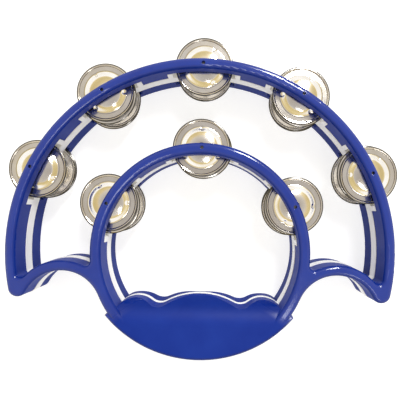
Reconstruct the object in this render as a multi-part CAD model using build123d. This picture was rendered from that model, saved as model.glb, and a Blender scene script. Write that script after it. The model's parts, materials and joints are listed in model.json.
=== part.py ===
from build123d import *
import os
from math import acos, cos, degrees, radians, sin, sqrt

# A headless half-moon tambourine with two rows of jingles, in millimetres.
# It lies on its rear face: Z is the depth, +Z is the front face, and +Y runs from the grip
# towards the middle of the crescent. Everything is drawn around the centre that the outer arc
# and the hand ring share, and is moved at the end so that the origin is the middle of the box.

# ---- outline of the crescent -----------------------------------------------------------
OUTER_RADIUS = 130.0      # outside of the outer arc
RING_RADIUS = 73.6        # outside of the hand ring
RING_WIDTH = 7.6          # width of the ring's rail, seen from the front
RAIL_WIDTH = 7.0          # width of all the other rails
ARCH_RADIUS = 26.7        # hollow below each arm, tangent to the hand ring
ARCH_DROP = 23.5          # degrees that the arches' centres lie below the horizontal
TIP_RADIUS = 6.2          # rounded horn where the outer arc meets an arch
CORNER_RADIUS = 3.0       # inside corners of the crescent opening

# ---- layers, from the rear face up -----------------------------------------------------
DEPTH = 46.0
MID_DEPTH = 10.0          # depth of the white middle frame
MID_PROUD = 0.35          # how far the middle frame stands out of the shells' walls
SHELL_DEPTH = (DEPTH - MID_DEPTH) / 2
SHELL_WALL = 2.0
SHELL_CROWN = 2.2         # thickness of the shell below its face
EDGE_RADIUS = 2.6         # rounding of the rails' face edges
MID_WEB = 3.0             # plastic left between the middle frame's two grooves

# ---- grip ------------------------------------------------------------------------------
GRIP_ARC_RADIUS = 85.4    # outside curve of the grip
GRIP_ARC_CENTRE_Y = 11.4
GRIP_CORNER = (65.3, -44.6)
CREST_TOP_Y = -30.1       # the broad crest in the middle of the finger edge
CREST_RADIUS = 50.4
VALLEY_X = 28.2           # a finger valley on each side of it
VALLEY_RADIUS = 8.8
SIDE_CREST_X = 43.5       # and a small crest next to each end of the grip
SIDE_CREST_RADIUS = 16.0
FINGER_REACH = 18.0       # the grip's oval section: how far its rounding reaches in from the
PALM_REACH = 5.0          # finger side and from the palm side
RAIL_END_Y = -48.0        # where the ring's rails have run into the grip's flat top
GRIP_FLANGE = 5.5         # depth of the middle frame between the two halves of the grip
GRIP_WALL = 3.0

# ---- jingles and their pins ------------------------------------------------------------
OUTER_PIN_RADIUS = OUTER_RADIUS - RAIL_WIDTH / 2
RING_PIN_RADIUS = RING_RADIUS - 3.3
BEAD_DEPTH = 9.0          # what is left of the shell in front of a jingle window
WINDOW_HALF = 21.5        # free half-width of a jingle window
POST_WIDTH = 3.4          # white posts of the middle frame at both ends of a window
JINGLE_RADIUS = 20.0
JINGLE_SHEET = 0.5
JINGLE_HOLE = 3.0
JINGLE_DOME_BASE = 14.7   # radius where the dome meets the flat flange
JINGLE_DOME_RISE = 3.1
JINGLE_RIM = 1.7          # width of the rolled rim
JINGLE_RIM_HEIGHT = 0.9
DIMPLE_RADIUS = 1.6
DIMPLE_DEPTH = 0.25
DIMPLE_AT = 13.3
PIN_RADIUS = 1.1
PIN_RECESS = 2.5          # the pins' ends lie this far below the faces
BOSS_RADIUS = 3.4
STACK_GAP = 0.1           # between a resting disc and what it rests on

FIT_GAP = 0.1             # between the middle frame's posts and the front shell's notches
PIN_FIT = 0.05
CUT = 30.0                # any cutter that only has to be longer than what it cuts

# Where the pins stand: the radius of their circle and the angle from the top, clockwise.
STATIONS = {
    "top": (OUTER_PIN_RADIUS, 0.0),
    "upper_left": (OUTER_PIN_RADIUS, -32.0),
    "upper_right": (OUTER_PIN_RADIUS, 32.0),
    "side_left": (OUTER_PIN_RADIUS, -64.0),
    "side_right": (OUTER_PIN_RADIUS, 64.0),
    "ring_top": (RING_PIN_RADIUS, 0.0),
    "ring_left": (RING_PIN_RADIUS, -63.0),
    "ring_right": (RING_PIN_RADIUS, 63.0),
}

ARCH_DISTANCE = RING_RADIUS + ARCH_RADIUS
FRONT_LAYER = DEPTH - SHELL_DEPTH          # where the front shell meets the middle frame
MIDDLE = DEPTH / 2
GRIP_BOTTOM = GRIP_ARC_CENTRE_Y - GRIP_ARC_RADIUS
JINGLE_TOP = OUTER_PIN_RADIUS + JINGLE_RADIUS
ARC_CENTRE_Y = -(JINGLE_TOP + GRIP_BOTTOM) / 2


def polar(radius, angle):
    """The point at a radius, with the angle in degrees above +X."""
    return Vector(radius * cos(radians(angle)), radius * sin(radians(angle)))


def flip(point):
    """The same point on the left half."""
    return Vector(-point.X, point.Y)


ARCH_CENTRE = polar(ARCH_DISTANCE, -ARCH_DROP)


def crossing(radius, arch_radius):
    """Where a circle about the shared centre meets one about the right arch's centre,
    on the side above the arch."""
    far = radius**2 + ARCH_DISTANCE**2 - arch_radius**2
    spread = degrees(acos(far / (2 * radius * ARCH_DISTANCE)))
    return polar(radius, spread - ARCH_DROP)


def outer_outline(grow):
    """The outside of the crescent, with every wall moved out by grow."""
    arch = ARCH_RADIUS - grow
    tip = TIP_RADIUS + grow
    tip_centre = crossing(OUTER_RADIUS - TIP_RADIUS, ARCH_RADIUS + TIP_RADIUS)
    away = (tip_centre - ARCH_CENTRE).normalized()
    horn_outside = tip_centre.normalized() * (OUTER_RADIUS + grow)
    horn_inside = ARCH_CENTRE + away * arch
    horn_bottom = tip_centre + Vector(away.Y, -away.X) * tip
    ring_joint = polar(RING_RADIUS + grow, -ARCH_DROP)
    arch_top = ARCH_CENTRE + Vector(0, arch)
    right = [
        ThreePointArc(horn_outside, horn_bottom, horn_inside),
        ThreePointArc(horn_inside, arch_top, ring_joint),
    ]
    left = [mirror(piece, about=Plane.YZ) for piece in right]
    top = ThreePointArc(flip(horn_outside), (0, OUTER_RADIUS + grow), horn_outside)
    bottom = ThreePointArc(ring_joint, (0, -RING_RADIUS - grow), flip(ring_joint))
    return make_face(Curve() + [top, bottom] + right + left)


def crescent_opening(grow):
    """The opening between the outer arc, the arms and the hand ring."""
    arm = ARCH_RADIUS + RAIL_WIDTH + grow
    outside = OUTER_RADIUS - RAIL_WIDTH - grow
    ring = RING_RADIUS + grow
    far_corner = crossing(outside, arm)
    near_corner = crossing(ring, arm)
    over_arm = ARCH_CENTRE + Vector(0, arm)
    opening = make_face(Curve() + [
        ThreePointArc(flip(far_corner), (0, outside), far_corner),
        ThreePointArc(far_corner, over_arm, near_corner),
        ThreePointArc(near_corner, (0, ring), flip(near_corner)),
        ThreePointArc(flip(near_corner), flip(over_arm), flip(far_corner)),
    ])
    return fillet(opening.vertices(), CORNER_RADIUS - grow)


def rails(grow=0.0):
    """All rails of one layer, seen from the front."""
    hand_hole = Circle(RING_RADIUS - RING_WIDTH - grow)
    return outer_outline(grow) - crescent_opening(grow) - hand_hole


def scallop_centres():
    """Centres of the right half's three tangent arcs: middle crest, valley and side crest."""
    crest = Vector(0, CREST_TOP_Y - CREST_RADIUS)
    reach = CREST_RADIUS + VALLEY_RADIUS
    valley = crest + Vector(VALLEY_X, sqrt(reach**2 - VALLEY_X**2))
    reach = VALLEY_RADIUS + SIDE_CREST_RADIUS
    step = SIDE_CREST_X - VALLEY_X
    side_crest = valley + Vector(step, -sqrt(reach**2 - step**2))
    return crest, valley, side_crest


def shoulder_point(inset=0.0):
    """Where the side crest runs on into the straight end, moved into the grip by inset."""
    side_crest = scallop_centres()[2]
    to_corner = Vector(*GRIP_CORNER) - side_crest
    turn = degrees(acos(SIDE_CREST_RADIUS / to_corner.length))
    out = to_corner.normalized().rotate(Axis.Z, turn)
    return side_crest + out * (SIDE_CREST_RADIUS - inset)


def finger_edge(inset=0.0):
    """The scalloped edge that the fingers close around, moved into the grip by inset."""
    crest, valley, side_crest = scallop_centres()
    crest_end = valley + (crest - valley).normalized() * (VALLEY_RADIUS + inset)
    valley_end = valley + (side_crest - valley).normalized() * (VALLEY_RADIUS + inset)
    valley_floor = valley - Vector(0, VALLEY_RADIUS + inset)
    side_top = side_crest + Vector(0, SIDE_CREST_RADIUS - inset)
    right = [
        ThreePointArc(crest_end, valley_floor, valley_end),
        ThreePointArc(valley_end, side_top, shoulder_point(inset)),
    ]
    left = [mirror(piece, about=Plane.YZ) for piece in right]
    middle = ThreePointArc(flip(crest_end), (0, CREST_TOP_Y - inset), crest_end)
    return [middle] + right + left


def grip_outline(inset=0.0):
    """Outline of the grip, moved in by inset: a plain arc outside, the scalloped edge inside,
    and two straight ends across the ring."""
    corner = Vector(*GRIP_CORNER)
    off_end = (scallop_centres()[2] - shoulder_point()).normalized()
    off_arc = (Vector(0, GRIP_ARC_CENTRE_Y) - corner).normalized()
    corner = corner + (off_end + off_arc) * inset
    shoulder = shoulder_point(inset)
    return make_face(Curve() + [
        ThreePointArc(flip(corner), (0, GRIP_BOTTOM + inset), corner),
        Line(corner, shoulder),
        Line(flip(shoulder), flip(corner)),
    ] + finger_edge(inset))


def layer(sketch, low, high):
    """A sketch as a solid between two heights."""
    return extrude(Plane.XY.offset(low) * sketch, amount=high - low)


def oval_section(centre, span, reach, rise):
    """A section that is flat on top for a span and ends in an oval around the centre."""
    flat = Pos(centre - span / 2, 0) * Rectangle(span, 2 * rise)
    return flat + Pos(centre, 0) * Ellipse(reach, rise)


def grip_half(inset=0.0):
    """Front half of the grip, moved in by inset: flat on top, with oval long sides."""
    low = MIDDLE + GRIP_FLANGE / 2
    rise = DEPTH - low - inset
    finger_centre = CREST_TOP_Y - FINGER_REACH
    finger = oval_section(finger_centre, GRIP_ARC_RADIUS, FINGER_REACH - inset, rise)
    finger_side = extrude(Plane.YZ * finger, amount=GRIP_ARC_RADIUS, both=True)
    palm_centre = GRIP_ARC_RADIUS - PALM_REACH
    palm = oval_section(palm_centre, palm_centre, PALM_REACH - inset, rise)
    palm_side = Pos(0, GRIP_ARC_CENTRE_Y, 0) * revolve(Plane.XZ * palm, Axis.Z)
    oval = Pos(0, 0, low) * (finger_side & palm_side)
    return layer(grip_outline(inset), low, DEPTH) & oval


def at_station(name):
    """The frame of a station: its origin on the pin, X along the rail and Y outwards."""
    radius, angle = STATIONS[name]
    return Rot(0, 0, -angle) * Pos(0, radius, 0)


def station_boxes(half_width, low, high):
    """Boxes across the rail at every station."""
    box = Box(2 * half_width, CUT, high - low, align=(Align.CENTER, Align.CENTER, Align.MIN))
    return [at_station(name) * Pos(0, 0, low) * box for name in STATIONS]


def station_rods(radius, low, high):
    """Cylinders on every pin axis."""
    rod = Cylinder(radius, high - low, align=(Align.CENTER, Align.CENTER, Align.MIN))
    return [at_station(name) * Pos(0, 0, low) * rod for name in STATIONS]


def make_shell(window_half):
    """Blue shell in the front shell's place: a hollow rail with a window, open towards the
    middle frame, at each jingle station."""
    face = layer(rails(), FRONT_LAYER, DEPTH)
    shell = fillet(face.faces().sort_by(Axis.Z)[-1].edges(), EDGE_RADIUS)
    crown = DEPTH - SHELL_CROWN
    channel = layer(rails(-SHELL_WALL), FRONT_LAYER, crown)
    bosses = station_rods(BOSS_RADIUS, FRONT_LAYER, crown + 0.5)
    shell = shell - (channel - bosses)
    shell = shell - station_boxes(window_half, FRONT_LAYER, DEPTH - BEAD_DEPTH)
    shell = shell - station_rods(PIN_RADIUS + PIN_FIT, FRONT_LAYER, DEPTH)
    in_grip = grip_outline() & Pos(0, RAIL_END_Y - CUT) * Rectangle(2 * RING_RADIUS, 2 * CUT)
    shell = shell - layer(in_grip, FRONT_LAYER, DEPTH)
    return shell + grip_half() - grip_half(GRIP_WALL)


def make_mid_frame():
    """White middle frame: the spine of the sandwich, with posts that rise into the front
    shell beside each window."""
    low = MIDDLE - MID_DEPTH / 2
    high = MIDDLE + MID_DEPTH / 2
    spine = rails(MID_PROUD)
    frame = layer(spine, low, high)
    groove_room = station_boxes(WINDOW_HALF + POST_WIDTH + SHELL_WALL, low, high)
    groove = layer(rails(-SHELL_WALL), low, high)
    grooves = groove - layer(rails(), MIDDLE - MID_WEB / 2, MIDDLE + MID_WEB / 2) - groove_room
    frame = frame - grooves - layer(grip_outline(), low, high)
    post_top = DEPTH - BEAD_DEPTH - STACK_GAP
    wide = station_boxes(WINDOW_HALF + POST_WIDTH, MIDDLE, post_top)
    narrow = station_boxes(WINDOW_HALF, high, post_top)
    bars = layer(spine, MIDDLE, post_top)
    frame = frame + ((bars & (Part() + wide)) - narrow)
    flange = layer(grip_outline(), MIDDLE - GRIP_FLANGE / 2, MIDDLE + GRIP_FLANGE / 2)
    web = layer(grip_outline(), MIDDLE - MID_WEB / 2, MIDDLE + MID_WEB / 2)
    pockets = layer(grip_outline(GRIP_WALL), low, high) - web
    frame = frame + (flange - pockets)
    return frame - station_rods(PIN_RADIUS + PIN_FIT, low, high)


def make_jingle():
    """One jingle, dome up, with the underside of its flange at Z = 0."""
    dome_radius = (JINGLE_DOME_BASE**2 + JINGLE_DOME_RISE**2) / (2 * JINGLE_DOME_RISE)
    dome_centre = JINGLE_SHEET + JINGLE_DOME_RISE - dome_radius
    inner_radius = dome_radius - JINGLE_SHEET

    def on_dome(radius, at):
        return Vector(at, 0, dome_centre + sqrt(radius**2 - at**2))

    inner_base = Vector(sqrt(inner_radius**2 - dome_centre**2), 0, 0)
    rim_inside = JINGLE_RADIUS - JINGLE_RIM
    middle = JINGLE_DOME_BASE / 2
    outer_base = Vector(JINGLE_DOME_BASE, 0, JINGLE_SHEET)
    flange = Polyline(
        outer_base,
        (rim_inside, 0, JINGLE_SHEET),
        (rim_inside, 0, JINGLE_RIM_HEIGHT),
        (JINGLE_RADIUS, 0, JINGLE_RIM_HEIGHT),
        (JINGLE_RADIUS, 0, 0),
        inner_base,
    )
    inner_arc = ThreePointArc(inner_base, on_dome(inner_radius, middle),
                              on_dome(inner_radius, JINGLE_HOLE))
    outer_arc = ThreePointArc(on_dome(dome_radius, JINGLE_HOLE), on_dome(dome_radius, middle),
                              outer_base)
    hole_wall = Line(inner_arc @ 1, outer_arc @ 0)
    disc = revolve(make_face(Curve() + [flange, inner_arc, hole_wall, outer_arc]), Axis.Z)
    above = on_dome(dome_radius, DIMPLE_AT) + Vector(0, 0, DIMPLE_RADIUS - DIMPLE_DEPTH)
    dimples = [Rot(0, 0, turn) * Pos(above) * Sphere(DIMPLE_RADIUS) for turn in (0, 120, 240)]
    return disc - dimples


def jingle_height():
    """Height of one disc from its flange to the top of the dome, at the edge of its hole."""
    dome_radius = (JINGLE_DOME_BASE**2 + JINGLE_DOME_RISE**2) / (2 * JINGLE_DOME_RISE)
    dome_centre = JINGLE_SHEET + JINGLE_DOME_RISE - dome_radius
    return dome_centre + sqrt(dome_radius**2 - JINGLE_HOLE**2)


def jingle_places():
    """Name and place of each disc of one station. In each window a pair lies flange to
    flange, dropped onto the lower side of the window."""
    rise = jingle_height()
    windows = {"rear": BEAD_DEPTH, "front": FRONT_LAYER}
    places = {}
    for row, floor in windows.items():
        seat = floor + STACK_GAP + rise
        lower, upper = ("outer", "inner") if row == "rear" else ("inner", "outer")
        places[f"{row}_{lower}"] = Pos(0, 0, seat) * Rot(180, 0, 0)
        places[f"{row}_{upper}"] = Pos(0, 0, seat + STACK_GAP)
    return places


def save(node, shape):
    """Write one piece, moved from the arcs' centre to the part's own origin."""
    placed = Pos(0, ARC_CENTRE_Y, 0) * shape
    solids = placed.solids()
    placed = solids[0] if len(solids) == 1 else Compound(children=list(solids))
    export_step(placed, f"parts/{node}.step")


os.makedirs("parts", exist_ok=True)

front_shell = make_shell(WINDOW_HALF + POST_WIDTH + FIT_GAP)
rear_shell = mirror(make_shell(WINDOW_HALF), about=Plane.XY.offset(MIDDLE))
save("front_shell", front_shell)
save("rear_shell", rear_shell)
save("mid_frame", make_mid_frame())

pins = station_rods(PIN_RADIUS, PIN_RECESS, DEPTH - PIN_RECESS)
for name, pin in zip(STATIONS, pins):
    save(f"pin_{name}", pin)

jingle = make_jingle()
for number, name in enumerate(STATIONS):
    for step, (position, place) in enumerate(jingle_places().items()):
        spin = 47.0 * (4 * number + step)
        save(f"jingle_{name}_{position}", at_station(name) * place * Rot(0, 0, spin) * jingle)
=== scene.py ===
import json
import math
import random

import bmesh
import bpy
from mathutils import Matrix, Vector


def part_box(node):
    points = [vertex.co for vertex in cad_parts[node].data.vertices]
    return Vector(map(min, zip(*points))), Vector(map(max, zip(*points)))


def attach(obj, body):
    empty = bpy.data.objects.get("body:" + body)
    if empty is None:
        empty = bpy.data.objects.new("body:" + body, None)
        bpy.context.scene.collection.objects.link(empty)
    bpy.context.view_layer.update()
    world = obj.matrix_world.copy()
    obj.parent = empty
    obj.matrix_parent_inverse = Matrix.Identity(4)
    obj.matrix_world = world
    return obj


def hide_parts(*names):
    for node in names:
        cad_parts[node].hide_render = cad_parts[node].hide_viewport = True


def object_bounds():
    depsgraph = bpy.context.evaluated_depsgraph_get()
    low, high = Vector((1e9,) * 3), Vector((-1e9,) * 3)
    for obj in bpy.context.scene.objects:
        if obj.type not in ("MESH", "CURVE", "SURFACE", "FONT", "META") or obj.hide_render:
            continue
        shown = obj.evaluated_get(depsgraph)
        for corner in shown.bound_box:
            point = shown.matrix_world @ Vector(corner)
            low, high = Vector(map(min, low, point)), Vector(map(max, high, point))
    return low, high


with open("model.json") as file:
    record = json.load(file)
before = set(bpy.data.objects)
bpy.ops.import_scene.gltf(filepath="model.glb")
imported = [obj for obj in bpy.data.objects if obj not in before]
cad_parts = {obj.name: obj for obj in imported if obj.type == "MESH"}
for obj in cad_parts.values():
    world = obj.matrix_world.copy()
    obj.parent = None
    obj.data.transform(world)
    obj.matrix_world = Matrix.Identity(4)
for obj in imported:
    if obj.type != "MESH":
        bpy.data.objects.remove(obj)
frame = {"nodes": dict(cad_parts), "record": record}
cad_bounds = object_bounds()

MM = 0.001

# ---- camera, straight above the front face ----------------------------------------------
CAMERA_HEIGHT = 300 * MM                 # above the front face
CAMERA_OFFSET = (13.4 * MM, 31.7 * MM)   # X and Y from the arcs' centre
CAMERA_ROLL = 1.1                        # degrees
RING_PIN_RADIUS = 70.3 * MM              # from the arcs' centre to the hand ring's pins
SENSOR = 36.0                            # width, in Blender's own millimetres
FOCAL_SHARE = 1.134                      # focal length as a share of the sensor's width
SHIFT = (-0.0525, 0.015)                 # of the lens, as shares of the sensor's width

# ---- jingles ----------------------------------------------------------------------------
DISC_RADIUS = 20.0 * MM
HOLE_RADIUS = 3.0 * MM
HOLE_BREAK = (0.08 * MM, 0.12 * MM)      # the hole's broken edges: across the sheet, and along the pin
SHEET = 0.5 * MM
DOME_RISE = 2.95 * MM
DOME_SLOPES = [(0.0, 0.0), (3.5, 0.0), (10.3, 0.24), (11.6, 0.56), (13.7, 0.60), (14.8, 0.0)]
RIM_WIDTH = 1.7 * MM                     # the edge is rolled into a bead
RIM_HEIGHT = 0.9 * MM
RIM_CHAMFER = 0.15 * MM                  # under the bead
RIM_TURN = 15                            # degrees between the bead's points
DIMPLES = 3
DIMPLE_AT = 13.0 * MM                    # from the disc's axis
DIMPLE_RADIUS = 1.2 * MM
DIMPLE_DEPTH = 0.5 * MM
SLOPE_STEPS = 60                         # to add up the dome's slopes
SHEET_STEPS = 30                         # from the hole to the bead
DISC_SEGMENTS = 144
DISC_STRAY = 0.8 * MM                    # how far a loose disc hangs off its pin's axis at most
HUNG = {                                 # discs in plain view: X and Y off the pin's axis, in mm
    "ring_left_front_outer": (-1.6, 0.7),
    "ring_right_front_outer": (1.5, 0.9),
    "ring_top_front_outer": (-0.8, 1.5),
    "ring_top_rear_inner": (0.0, 1.6),
    "ring_top_rear_outer": (0.3, 1.5),
    "top_front_outer": (0.2, 1.1),
    "top_front_inner": (0.0, 1.5),
    "top_rear_inner": (0.2, 1.7),
    "top_rear_outer": (0.0, 1.7),
    "upper_left_front_outer": (-0.9, 1.5),
    "upper_right_front_outer": (0.3, 1.7),
    "side_right_front_outer": (1.2, -0.5),
}

# ---- grip, where the shells' surface is more matt ----------------------------------------
GRIP_MIDDLE = (0.0, -92.0 * MM, 23.0 * MM)
GRIP_REACH = (74.0 * MM, 30.0 * MM, 60.0 * MM)

# ---- colours, each as the two ends of its blotches ---------------------------------------
BLUE = [(0.003, 0.021, 0.230, 1), (0.006, 0.030, 0.272, 1)]
WHITE = [(0.86, 0.86, 0.86, 1), (0.92, 0.92, 0.92, 1)]
NICKEL = [(0.84, 0.79, 0.71, 1), (0.93, 0.90, 0.85, 1)]
STEEL = [(0.10, 0.10, 0.11, 1), (0.24, 0.24, 0.26, 1)]
PAINT = [(0.42, 0.42, 0.42, 1), (0.46, 0.46, 0.46, 1)]

# ---- a disc's metal, as (millimetres from its axis, value) pairs --------------------------
# painted shade: darker rings at the dome's foot, in the groove inside the bead and at the rim's outer
# edge
SHADE_RINGS = [(0.0, 1.0), (14.3, 1.0), (14.8, 0.55), (15.3, 0.92), (17.8, 0.92),
              (18.2, 0.25), (18.5, 1.0), (19.1, 1.0), (19.3, 0.20), (20.0, 0.08)]
ROUGHNESS = [(0.0, 0.14), (13.5, 0.14), (15.0, 0.16), (18.0, 0.16), (18.6, 0.14)]

# ---- studio -----------------------------------------------------------------------------
FLOOR_REACH = 3.0
FLOOR_GAP = 0.1 * MM                     # below the rear face
FLOOR_GLOW = 0.75
SKY_STRENGTH = 1.12
SKY = [                                  # colour by angle from straight up, from the walls inwards
    (90, (0.95, 0.95, 0.95)),
    (56, (1.00, 1.00, 1.00)),
    (50, (0.74, 0.60, 0.28)),
    (40, (0.58, 0.48, 0.25)),
    (30, (0.72, 0.58, 0.30)),
    (26, (0.64, 0.60, 0.55)),
    (20, (0.54, 0.51, 0.48)),
    (0, (0.42, 0.39, 0.37)),
]

BODY_OF_NODE = {node: body for body, nodes in frame["record"]["behaviour"]["bodies"].items()
                for node in nodes}
JINGLE_NODES = sorted(name for name in frame["nodes"] if name.startswith("jingle_"))


def centre_of(node):
    """Middle of a CAD node's box."""
    low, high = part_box(node)
    return (Vector(low) + Vector(high)) / 2


# ---- shader nodes -----------------------------------------------------------------------

def new_material(name):
    """A new material, its node tree and its shader."""
    material = bpy.data.materials.new(name)
    material.use_nodes = True
    tree = material.node_tree
    return material, tree, tree.nodes["Principled BSDF"]


def add(tree, kind, **values):
    """A node of the given kind, with its input sockets set by name."""
    node = tree.nodes.new(kind)
    for name, value in values.items():
        node.inputs[name].default_value = value
    return node


def operate(tree, kind, operation, source, constant=None):
    """A maths node of the given kind on a source, with a constant if the operation takes one."""
    node = tree.nodes.new(kind)
    node.operation = operation
    tree.links.new(source, node.inputs[0])
    if constant is not None:
        node.inputs[1].default_value = constant
    return node


def coordinates(tree, kind):
    """Texture coordinates of the given kind."""
    return tree.nodes.new("ShaderNodeTexCoord").outputs[kind]


def up_part(tree, vector):
    """The Z part of a vector."""
    split = tree.nodes.new("ShaderNodeSeparateXYZ")
    tree.links.new(vector, split.inputs["Vector"])
    return split.outputs["Z"]


def length_of(tree, vector):
    """Length of a vector."""
    return operate(tree, "ShaderNodeVectorMath", "LENGTH", vector).outputs["Value"]


def noise(tree, scale, detail, roughness=0.55, stretch=None):
    """A noise in object coordinates; scale is in features per metre."""
    texture = add(tree, "ShaderNodeTexNoise", Scale=scale, Detail=detail, Roughness=roughness)
    place = coordinates(tree, "Object")
    if stretch is not None:
        mapping = add(tree, "ShaderNodeMapping", Scale=stretch)
        tree.links.new(place, mapping.inputs["Vector"])
        place = mapping.outputs["Vector"]
    tree.links.new(place, texture.inputs["Vector"])
    return texture.outputs["Fac"]


def stepped(tree, source, stops):
    """Maps a value onto stops, which are (position, number or colour) pairs."""
    node = tree.nodes.new("ShaderNodeValToRGB")
    elements = node.color_ramp.elements
    while len(elements) < len(stops):
        elements.new(0.5)
    for element, (position, _) in zip(elements, stops):
        element.position = position
    for element, (_, value) in zip(elements, stops):
        element.color = value if isinstance(value, tuple) else (value, value, value, 1)
    tree.links.new(source, node.inputs["Fac"])
    return node.outputs["Color"]


def ramp(tree, source, low, high, start=0.3, end=0.7):
    """Maps a value onto a range of numbers, or of colours."""
    return stepped(tree, source, [(start, low), (end, high)])


def bump(tree, height, strength, distance, normal=None):
    """The normal that a height gives, on top of an earlier normal if there is one."""
    node = add(tree, "ShaderNodeBump", Strength=strength, Distance=distance)
    tree.links.new(height, node.inputs["Height"])
    if normal is not None:
        tree.links.new(normal, node.inputs["Normal"])
    return node.outputs["Normal"]


def multiply(tree, first, second):
    """Product of two colours."""
    mix = tree.nodes.new("ShaderNodeMix")
    mix.data_type = "RGBA"
    mix.blend_type = "MULTIPLY"
    mix.inputs["Factor"].default_value = 1.0
    tree.links.new(first, mix.inputs["A"])
    tree.links.new(second, mix.inputs["B"])
    return mix.outputs["Result"]


def mixed(tree, share, first, second):
    """Goes from the first value, where the share is nought, to the second, a number or a value."""
    mix = tree.nodes.new("ShaderNodeMix")
    mix.data_type = "RGBA"
    tree.links.new(share, mix.inputs["Factor"])
    tree.links.new(first, mix.inputs["A"])
    if isinstance(second, float):
        mix.inputs["B"].default_value = (second, second, second, 1)
    else:
        tree.links.new(second, mix.inputs["B"])
    return mix.outputs["Result"]


def by_height(tree, rear, front):
    """A value that changes from the rear half of the frame to the front half."""
    height = up_part(tree, coordinates(tree, "Object"))
    share = operate(tree, "ShaderNodeMath", "DIVIDE", height, cad_bounds[1][2])
    return ramp(tree, share.outputs["Value"], rear, front, 0.38, 0.62)


def facing_up(tree, wall, face, start=0.08, end=0.40):
    """A value that goes from wall, on upright surfaces, to face, on those that lie flat."""
    normal = up_part(tree, coordinates(tree, "Normal"))
    flatness = operate(tree, "ShaderNodeMath", "ABSOLUTE", normal)
    return ramp(tree, flatness.outputs["Value"], wall, face, start, end)


def on_grip(tree):
    """A value that is one on the grip and falls to nought at its edge."""
    place = coordinates(tree, "Object")
    offset = operate(tree, "ShaderNodeVectorMath", "SUBTRACT", place, GRIP_MIDDLE)
    share = operate(tree, "ShaderNodeVectorMath", "DIVIDE", offset.outputs["Vector"], GRIP_REACH)
    return ramp(tree, length_of(tree, share.outputs["Vector"]), 1.0, 0.0, 0.88, 1.0)


def disc_radius(tree):
    """Distance from a disc's own axis, in millimetres."""
    place = coordinates(tree, "Object")
    flat = operate(tree, "ShaderNodeVectorMath", "MULTIPLY", place, (1 / MM, 1 / MM, 0))
    return length_of(tree, flat.outputs["Vector"])


def by_radius(tree, radius, stops):
    """A number that follows a disc's radius; stops are (millimetres, number) pairs."""
    edge = DISC_RADIUS / MM
    share = operate(tree, "ShaderNodeMath", "DIVIDE", radius, edge)
    return stepped(tree, share.outputs["Value"], [(place / edge, value) for place, value in stops])


# ---- materials --------------------------------------------------------------------------

def blue_plastic():
    """Moulded royal-blue plastic: polished faces, duller walls and grip, smears and fine grain, with
    painted shade on the rounded edges and on the rear shell's walls.
    """
    material, tree, shader = new_material("blue_plastic")
    flat = facing_up(tree, 0.0, 1.0)
    crown = facing_up(tree, 0.0, 1.0, 0.75, 0.98)
    grip = on_grip(tree)

    colour = ramp(tree, noise(tree, 35, 3), *BLUE)
    # painted shade: the rounded edges and the rear shell's walls are darkened to 0.8 of the colour;
    # the flat crowns and the front walls keep all of it
    painted_edge_shade = mixed(tree, flat, by_height(tree, 0.80, 1.0), 0.80)
    tree.links.new(multiply(tree, colour, mixed(tree, crown, painted_edge_shade, 1.0)), shader.inputs["Base Color"])

    smears = ramp(tree, noise(tree, 90, 5, 0.6, (1, 1, 0.4)), 0.85, 1.0)
    dullness = mixed(tree, grip, facing_up(tree, 0.60, 0.12), 0.55)
    tree.links.new(multiply(tree, dullness, smears), shader.inputs["Roughness"])

    shine = mixed(tree, crown, by_height(tree, 0.08, 0.17), 0.80)
    grip_shine = facing_up(tree, 0.02, 0.15, 0.30, 0.90)
    tree.links.new(mixed(tree, grip, shine, grip_shine), shader.inputs["Specular IOR Level"])

    soft_edge = add(tree, "ShaderNodeBevel", Radius=0.7 * MM).outputs["Normal"]
    waves = bump(tree, noise(tree, 160, 2), 0.07, 0.4 * MM, soft_edge)
    grain = bump(tree, noise(tree, 2600, 2), 0.08, 0.08 * MM, waves)
    tree.links.new(grain, shader.inputs["Normal"])
    return material


def white_plastic():
    """White plastic of the middle frame, faintly mottled."""
    material, tree, shader = new_material("white_plastic")
    tree.links.new(ramp(tree, noise(tree, 40, 3), *WHITE), shader.inputs["Base Color"])
    tree.links.new(ramp(tree, noise(tree, 120, 4), 0.36, 0.52), shader.inputs["Roughness"])
    grain = bump(tree, noise(tree, 1800, 2), 0.08, 0.08 * MM)
    tree.links.new(grain, shader.inputs["Normal"])
    return material


def jingle_metal():
    """Stamped nickel-plated sheet: polished, with painted shade at the dome's foot and along the rim.
    """
    material, tree, shader = new_material("jingle_metal")
    shader.inputs["Metallic"].default_value = 1.0
    radius = disc_radius(tree)
    colour = ramp(tree, noise(tree, 90, 3, 0.5), *NICKEL, 0.35, 0.65)
    painted_rim_shade = by_radius(tree, radius, SHADE_RINGS)
    tree.links.new(multiply(tree, colour, painted_rim_shade), shader.inputs["Base Color"])
    tree.links.new(by_radius(tree, radius, ROUGHNESS), shader.inputs["Roughness"])
    turned = add(tree, "ShaderNodeTexNoise", Scale=1.6, Detail=4.0, Roughness=0.6)
    turned.noise_dimensions = "1D"
    tree.links.new(radius, turned.inputs["W"])
    lines = bump(tree, turned.outputs["Fac"], 0.06, 0.2 * MM)
    dents = bump(tree, noise(tree, 70, 1), 0.14, 1.0 * MM, lines)
    tree.links.new(dents, shader.inputs["Normal"])
    return material


def pin_steel():
    """Drawn steel wire, dark from handling."""
    material, tree, shader = new_material("pin_steel")
    shader.inputs["Metallic"].default_value = 1.0
    tree.links.new(ramp(tree, noise(tree, 900, 4), *STEEL), shader.inputs["Base Color"])
    drawn = noise(tree, 3000, 3, 0.5, (1, 1, 0.05))
    tree.links.new(ramp(tree, drawn, 0.25, 0.5), shader.inputs["Roughness"])
    tree.links.new(bump(tree, drawn, 0.2, 0.05 * MM), shader.inputs["Normal"])
    return material


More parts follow.
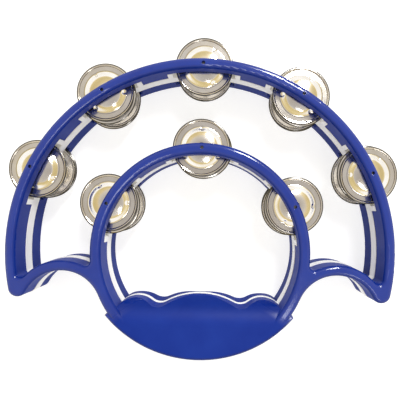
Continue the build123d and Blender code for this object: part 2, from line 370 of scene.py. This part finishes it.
def floor_paint():
    """Plain pale floor, lit from within like a light table so that hardly a shadow shows."""
    material, tree, shader = new_material("floor_paint")
    tree.links.new(ramp(tree, noise(tree, 3, 3), *PAINT), shader.inputs["Base Color"])
    shader.inputs["Roughness"].default_value = 0.9
    shader.inputs["Emission Color"].default_value = (1.0, 1.0, 1.0, 1)
    shader.inputs["Emission Strength"].default_value = FLOOR_GLOW
    return material


def dress(names, material):
    """Gives a material to CAD nodes."""
    for name in names:
        piece = frame["nodes"][name]
        piece.data.materials.clear()
        piece.data.materials.append(material)


# ---- jingles ----------------------------------------------------------------------------

def dome_slope(radius):
    """Slope of the sheet at a radius, before it is scaled to the dome's rise."""
    for (near, first), (far, last) in zip(DOME_SLOPES, DOME_SLOPES[1:]):
        if radius <= far * MM:
            return first + (last - first) * (radius / MM - near) / (far - near)
    return 0.0


def drop_to(radius):
    """How far the sheet has dropped from the middle of the dome, before scaling."""
    step = radius / SLOPE_STEPS
    return sum(dome_slope((i + 0.5) * step) * step for i in range(SLOPE_STEPS))


def sheet_height(radius):
    """Height of the disc's upper side above the flange's underside."""
    scale = DOME_RISE / drop_to(DISC_RADIUS)
    return SHEET + DOME_RISE - scale * drop_to(radius)


def disc_profile():
    """The disc's section as (radius, height) pairs, from the hole over the top, round the
    rolled rim and back along the underside."""
    flat_end = DISC_RADIUS - RIM_WIDTH
    radii = [HOLE_RADIUS + (flat_end - HOLE_RADIUS) * i / SHEET_STEPS for i in range(SHEET_STEPS + 1)]
    upper = [(radius, sheet_height(radius)) for radius in radii]
    lower = [(radius, sheet_height(radius) - SHEET) for radius in reversed(radii)]

    across, along = HOLE_BREAK
    hole_top = upper[0][1]
    upper[0] = (HOLE_RADIUS + across, hole_top)
    lower[-1] = (HOLE_RADIUS + across, lower[-1][1])
    hole = [(HOLE_RADIUS, hole_top - SHEET + along), (HOLE_RADIUS, hole_top - along)]

    rim_centre = DISC_RADIUS - RIM_WIDTH / 2
    turns = [math.radians(angle) for angle in range(180 - RIM_TURN, -1, -RIM_TURN)]
    rim = [(rim_centre + RIM_WIDTH / 2 * math.cos(turn),
            SHEET + (RIM_HEIGHT - SHEET) * math.sin(turn)) for turn in turns]
    rim += [(DISC_RADIUS, RIM_CHAMFER), (DISC_RADIUS - RIM_CHAMFER, 0.0)]
    return upper + rim + lower + hole


def dimple(x, y):
    """How deep a point of the sheet is pressed in by the stamped dimples."""
    depth = 0.0
    for number in range(DIMPLES):
        turn = math.radians(360 / DIMPLES * number)
        away = math.hypot(x - DIMPLE_AT * math.cos(turn), y - DIMPLE_AT * math.sin(turn))
        depth += DIMPLE_DEPTH * math.exp(-((away / DIMPLE_RADIUS) ** 4))
    return depth


def disc_mesh():
    """One stamped disc, dome up, with the underside of its flange at height 0."""
    profile = disc_profile()
    room = [max(0.0, sheet_height(radius) - SHEET) for radius, _ in profile]
    mesh = bmesh.new()
    rings = []
    for segment in range(DISC_SEGMENTS):
        turn = 2 * math.pi * segment / DISC_SEGMENTS
        ring = []
        for (radius, height), deepest in zip(profile, room):
            x = radius * math.cos(turn)
            y = radius * math.sin(turn)
            ring.append(mesh.verts.new((x, y, height - min(dimple(x, y), deepest))))
        rings.append(ring)
    count = len(profile)
    for ring, following in zip(rings, rings[1:] + rings[:1]):
        for i in range(count):
            j = (i + 1) % count
            mesh.faces.new((ring[i], ring[j], following[j], following[i]))
    bmesh.ops.recalc_face_normals(mesh, faces=mesh.faces)
    for face in mesh.faces:
        face.smooth = True
    data = bpy.data.meshes.new("jingle_disc")
    mesh.to_mesh(data)
    mesh.free()
    return data


def faces_up(node):
    """True for a disc whose dome points to the front face."""
    return node.endswith(("front_outer", "rear_inner"))


def stray_of(name, chance):
    """How far a disc hangs off its pin's axis, as listed in HUNG or else by chance."""
    reach = DISC_STRAY * math.sqrt(chance.random())
    heading = chance.uniform(0, 2 * math.pi)
    if name in HUNG:
        across, up = HUNG[name]
        return Vector((across * MM, up * MM, 0))
    return Vector((reach * math.cos(heading), reach * math.sin(heading), 0))


def make_jingles(material):
    """A detailed disc for each CAD disc, at a random quarter turn and hung a little off its pin."""
    data = disc_mesh()
    data.materials.append(material)
    for number, node in enumerate(JINGLE_NODES):
        name = node.removeprefix("jingle_")
        chance = random.Random(number)
        low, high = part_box(node)
        place = centre_of(node)
        place.z = low[2] if faces_up(node) else high[2]
        place += stray_of(name, chance)
        turn = Matrix.Rotation(chance.randrange(4) * math.pi / 2, 4, "Z")
        flip = Matrix.Identity(4) if faces_up(node) else Matrix.Rotation(math.pi, 4, "X")
        disc = bpy.data.objects.new("disc_" + name, data)
        bpy.context.scene.collection.objects.link(disc)
        disc.matrix_world = Matrix.Translation(place) @ flip @ turn
        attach(disc, BODY_OF_NODE[node])
        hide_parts(node)


# ---- stage ------------------------------------------------------------------------------

def make_floor(material):
    """A wide pale floor just below the rear face."""
    reach = FLOOR_REACH
    corners = [(-reach, -reach), (reach, -reach), (reach, reach), (-reach, reach)]
    height = cad_bounds[0][2] - FLOOR_GAP
    data = bpy.data.meshes.new("floor")
    data.from_pydata([(x, y, height) for x, y in corners], [], [(0, 1, 2, 3)])
    data.materials.append(material)
    floor = bpy.data.objects.new("floor", data)
    bpy.context.scene.collection.objects.link(floor)


def make_sky():
    """Bright walls around a duller ceiling, with a warm band between them."""
    world = bpy.data.worlds.new("studio")
    world.use_nodes = True
    tree = world.node_tree
    height = up_part(tree, coordinates(tree, "Generated"))
    stops = [(math.cos(math.radians(angle)), (*colour, 1)) for angle, colour in SKY]
    background = tree.nodes["Background"]
    tree.links.new(stepped(tree, height, stops), background.inputs["Color"])
    background.inputs["Strength"].default_value = SKY_STRENGTH
    bpy.context.scene.world = world


def area_light(name, place, size, power):
    """A soft box, size wide and long, that looks at the middle of the object."""
    data = bpy.data.lights.new(name, "AREA")
    data.shape = "RECTANGLE"
    data.size, data.size_y = size
    data.energy = power
    light = bpy.data.objects.new(name, data)
    bpy.context.scene.collection.objects.link(light)
    light.location = place
    light.rotation_euler = (-Vector(place)).to_track_quat("-Z", "Y").to_euler()


def make_lights():
    """A long soft box above the crescent's right half and a narrow one below the grip."""
    area_light("key", place=(0.32, 0.69, 1.0), size=(0.17, 0.50), power=11)
    area_light("strip", place=(0.20, -0.40, 1.0), size=(0.12, 0.50), power=1)


def make_camera():
    """The camera looks straight down on the front face."""
    data = bpy.data.cameras.new("camera")
    data.sensor_width = SENSOR
    data.lens = FOCAL_SHARE * SENSOR
    data.shift_x, data.shift_y = SHIFT
    data.clip_start = 10 * MM
    camera = bpy.data.objects.new("camera", data)
    bpy.context.scene.collection.objects.link(camera)
    top_pin = centre_of("pin_ring_top")
    camera.location = (
        top_pin.x + CAMERA_OFFSET[0],
        top_pin.y - RING_PIN_RADIUS + CAMERA_OFFSET[1],
        cad_bounds[1][2] + CAMERA_HEIGHT,
    )
    camera.rotation_euler = (0, 0, math.radians(CAMERA_ROLL))
    bpy.context.scene.camera = camera


make_camera()
make_sky()
make_lights()
make_floor(floor_paint())
dress([name for name in frame["nodes"] if name.startswith(("front_", "rear_"))], blue_plastic())
dress(["mid_frame"], white_plastic())
dress([name for name in frame["nodes"] if name.startswith("pin_")], pin_steel())
make_jingles(jingle_metal())

bpy.context.scene.view_settings.view_transform = "Standard"
